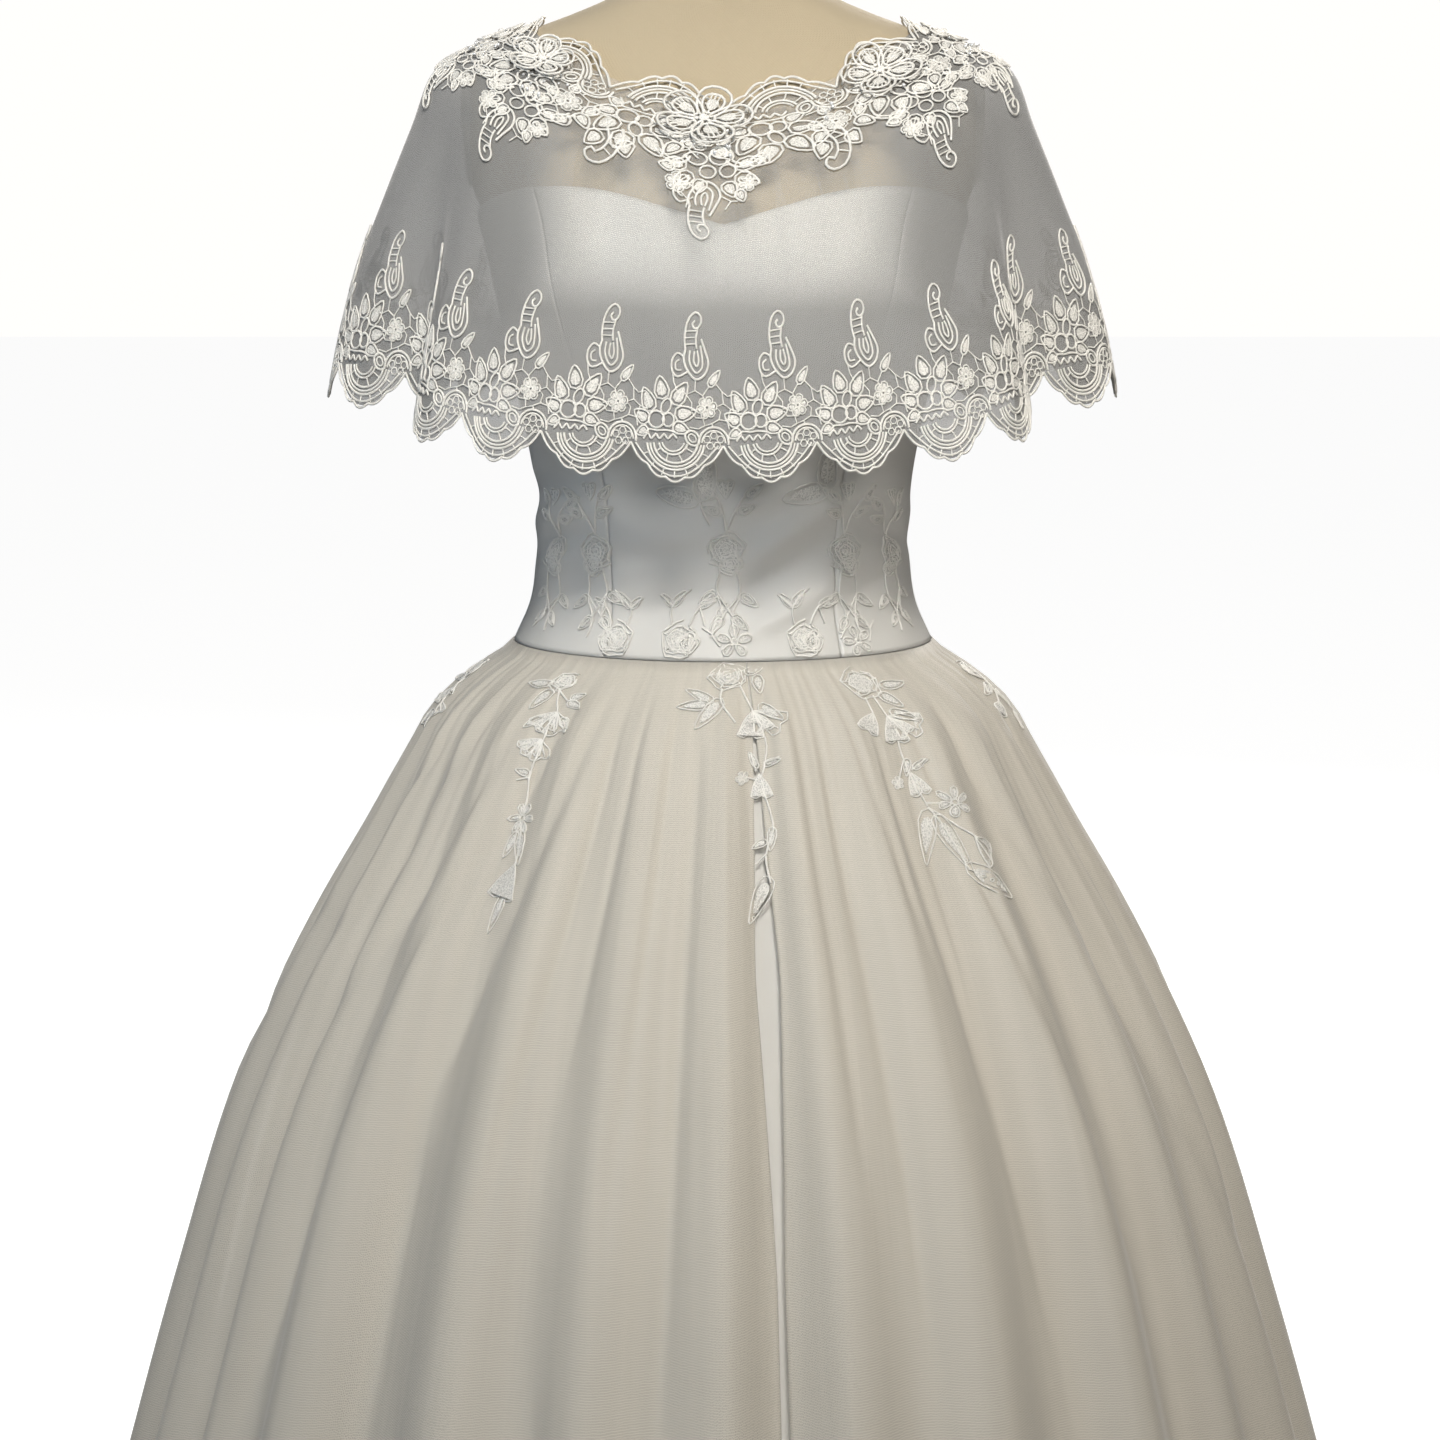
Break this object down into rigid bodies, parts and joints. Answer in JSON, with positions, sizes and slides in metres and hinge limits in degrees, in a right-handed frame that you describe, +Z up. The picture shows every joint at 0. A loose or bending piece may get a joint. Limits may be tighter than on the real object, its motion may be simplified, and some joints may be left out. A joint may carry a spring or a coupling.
{
  "type": "wedding dress on a dress form",
  "caption": "Strapless satin wedding dress with a gathered tulle skirt and a lace-edged tulle cape, standing on a limbless dress form.",
  "frame": {"origin": "middle of the base plate's underside, on the floor", "axes": "+Z up, the dress faces -Y, +X is on the right of someone who looks at its front"},
  "size_m": [1.1269, 1.0618, 1.5673],
  "materials": {
    "satin": "ivory duchess satin, soft sheen",
    "tulle": "sheer ivory net",
    "lace": "corded guipure lace",
    "linen": "plain natural linen over padding",
    "steel": "brushed",
    "base_paint": "satin enamel"
  },
  "bodies": {
    "root": {"back_button_1": "satin", "back_button_2": "satin", "back_button_3": "satin", "back_button_4": "satin", "back_button_5": "satin", "back_button_6": "satin", "back_button_7": "satin", "back_button_8": "satin", "base_plate": "base_paint", "bodice_back_left": "satin", "bodice_back_right": "satin", "bodice_center_front": "satin", "bodice_lace_center": "lace", "bodice_lace_left": "lace", "bodice_lace_right": "lace", "bodice_lace_side_left": "lace", "bodice_lace_side_right": "lace", "bodice_leaves_left": "lace", "bodice_leaves_right": "lace", "bodice_rose_left": "lace", "bodice_rose_right": "lace", "bodice_side_back_left": "satin", "bodice_side_back_right": "satin", "bodice_side_front_left": "satin", "bodice_side_front_right": "satin", "cape_back": "tulle", "cape_front": "tulle", "collar_flower_back_left": "lace", "collar_flower_back_right": "lace", "collar_flower_center": "lace", "collar_flower_left": "lace", "collar_flower_right": "lace", "collar_flower_shoulder_left": "lace", "collar_flower_shoulder_right": "lace", "collar_lace_back": "lace", "collar_lace_front": "lace", "form_arm_plate_left": "base_paint", "form_arm_plate_right": "base_paint", "form_neck_cap": "base_paint", "form_torso": "linen", "hem_lace_back": "lace", "hem_lace_front": "lace", "satin_skirt_back": "satin", "satin_skirt_front": "satin", "skirt_lace_center": "lace", "skirt_lace_left": "lace", "skirt_lace_right": "lace", "skirt_lace_side_left": "lace", "skirt_lace_side_right": "lace", "stand_pole": "steel", "tulle_skirt_left": "tulle", "tulle_skirt_right": "tulle"}
  },
  "joints": []
}
